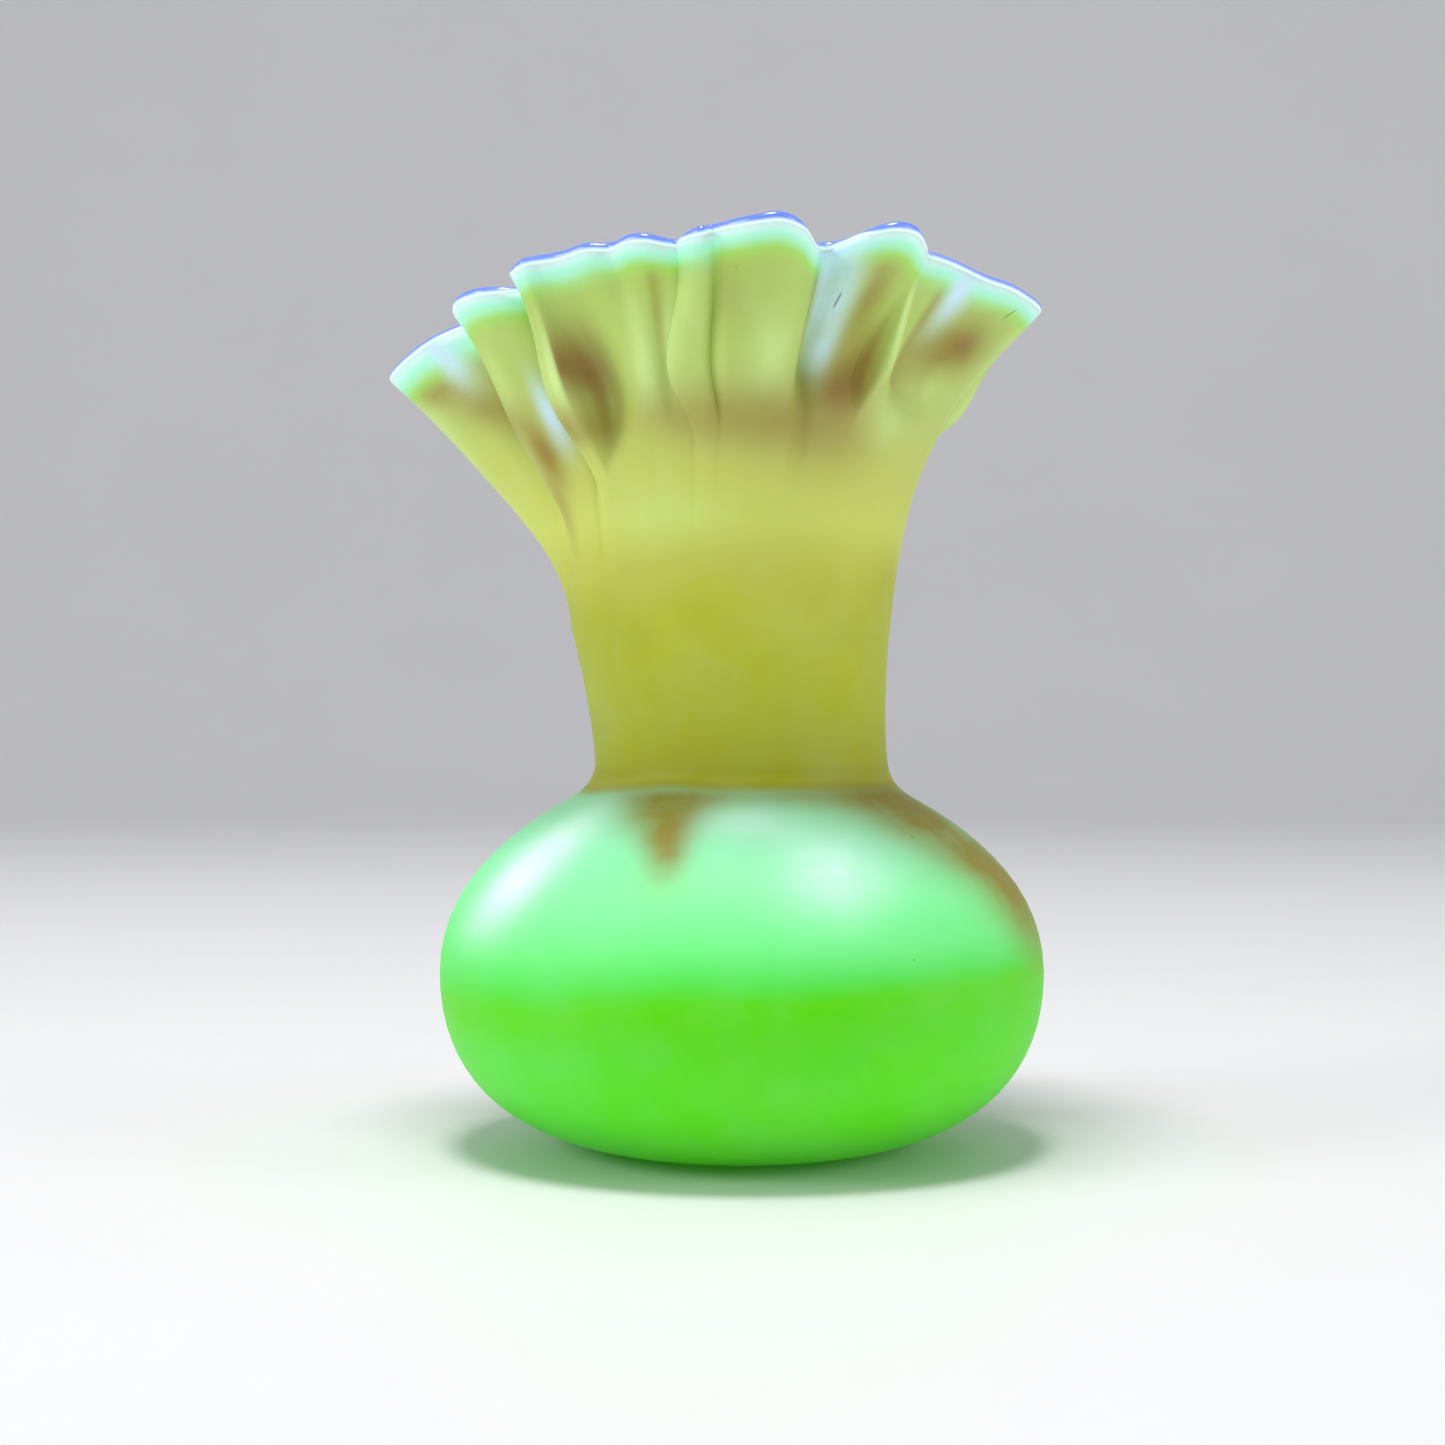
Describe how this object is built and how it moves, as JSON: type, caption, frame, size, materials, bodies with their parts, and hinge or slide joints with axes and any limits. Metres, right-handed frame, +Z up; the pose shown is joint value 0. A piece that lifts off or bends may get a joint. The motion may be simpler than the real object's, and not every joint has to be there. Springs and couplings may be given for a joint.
{
  "type": "uranium glass vase",
  "caption": "Small blown vase with a squat round bulb, a drawn-in neck and a wide, deeply ruffled mouth, in satin heat-shaded uranium glass.",
  "frame": {"origin": "centre of the flat underside of the foot, on the axis of the bulb", "axes": "+Z up along the axis of the bulb, -Y towards the front of the mouth, -X towards its low side"},
  "size_m": [0.0711, 0.0726, 0.0938],
  "materials": {
    "glass_green": "satin, acid-etched; the unstruck end of heat-shaded uranium glass, which glows green under ultraviolet light",
    "glass_mint": "satin; the upper bulb, paler where it faces the light",
    "glass_amber": "satin; the heat-struck end of the glass, olive yellow to amber",
    "glass_lip": "fire-polished edge, smoother than the satin wall"
  },
  "bodies": {
    "root": {"foot": "glass_green", "bowl": "glass_green", "shoulder": "glass_mint", "neck": "glass_amber", "ruffled_mouth": "glass_amber", "lip": "glass_lip"}
  },
  "joints": []
}
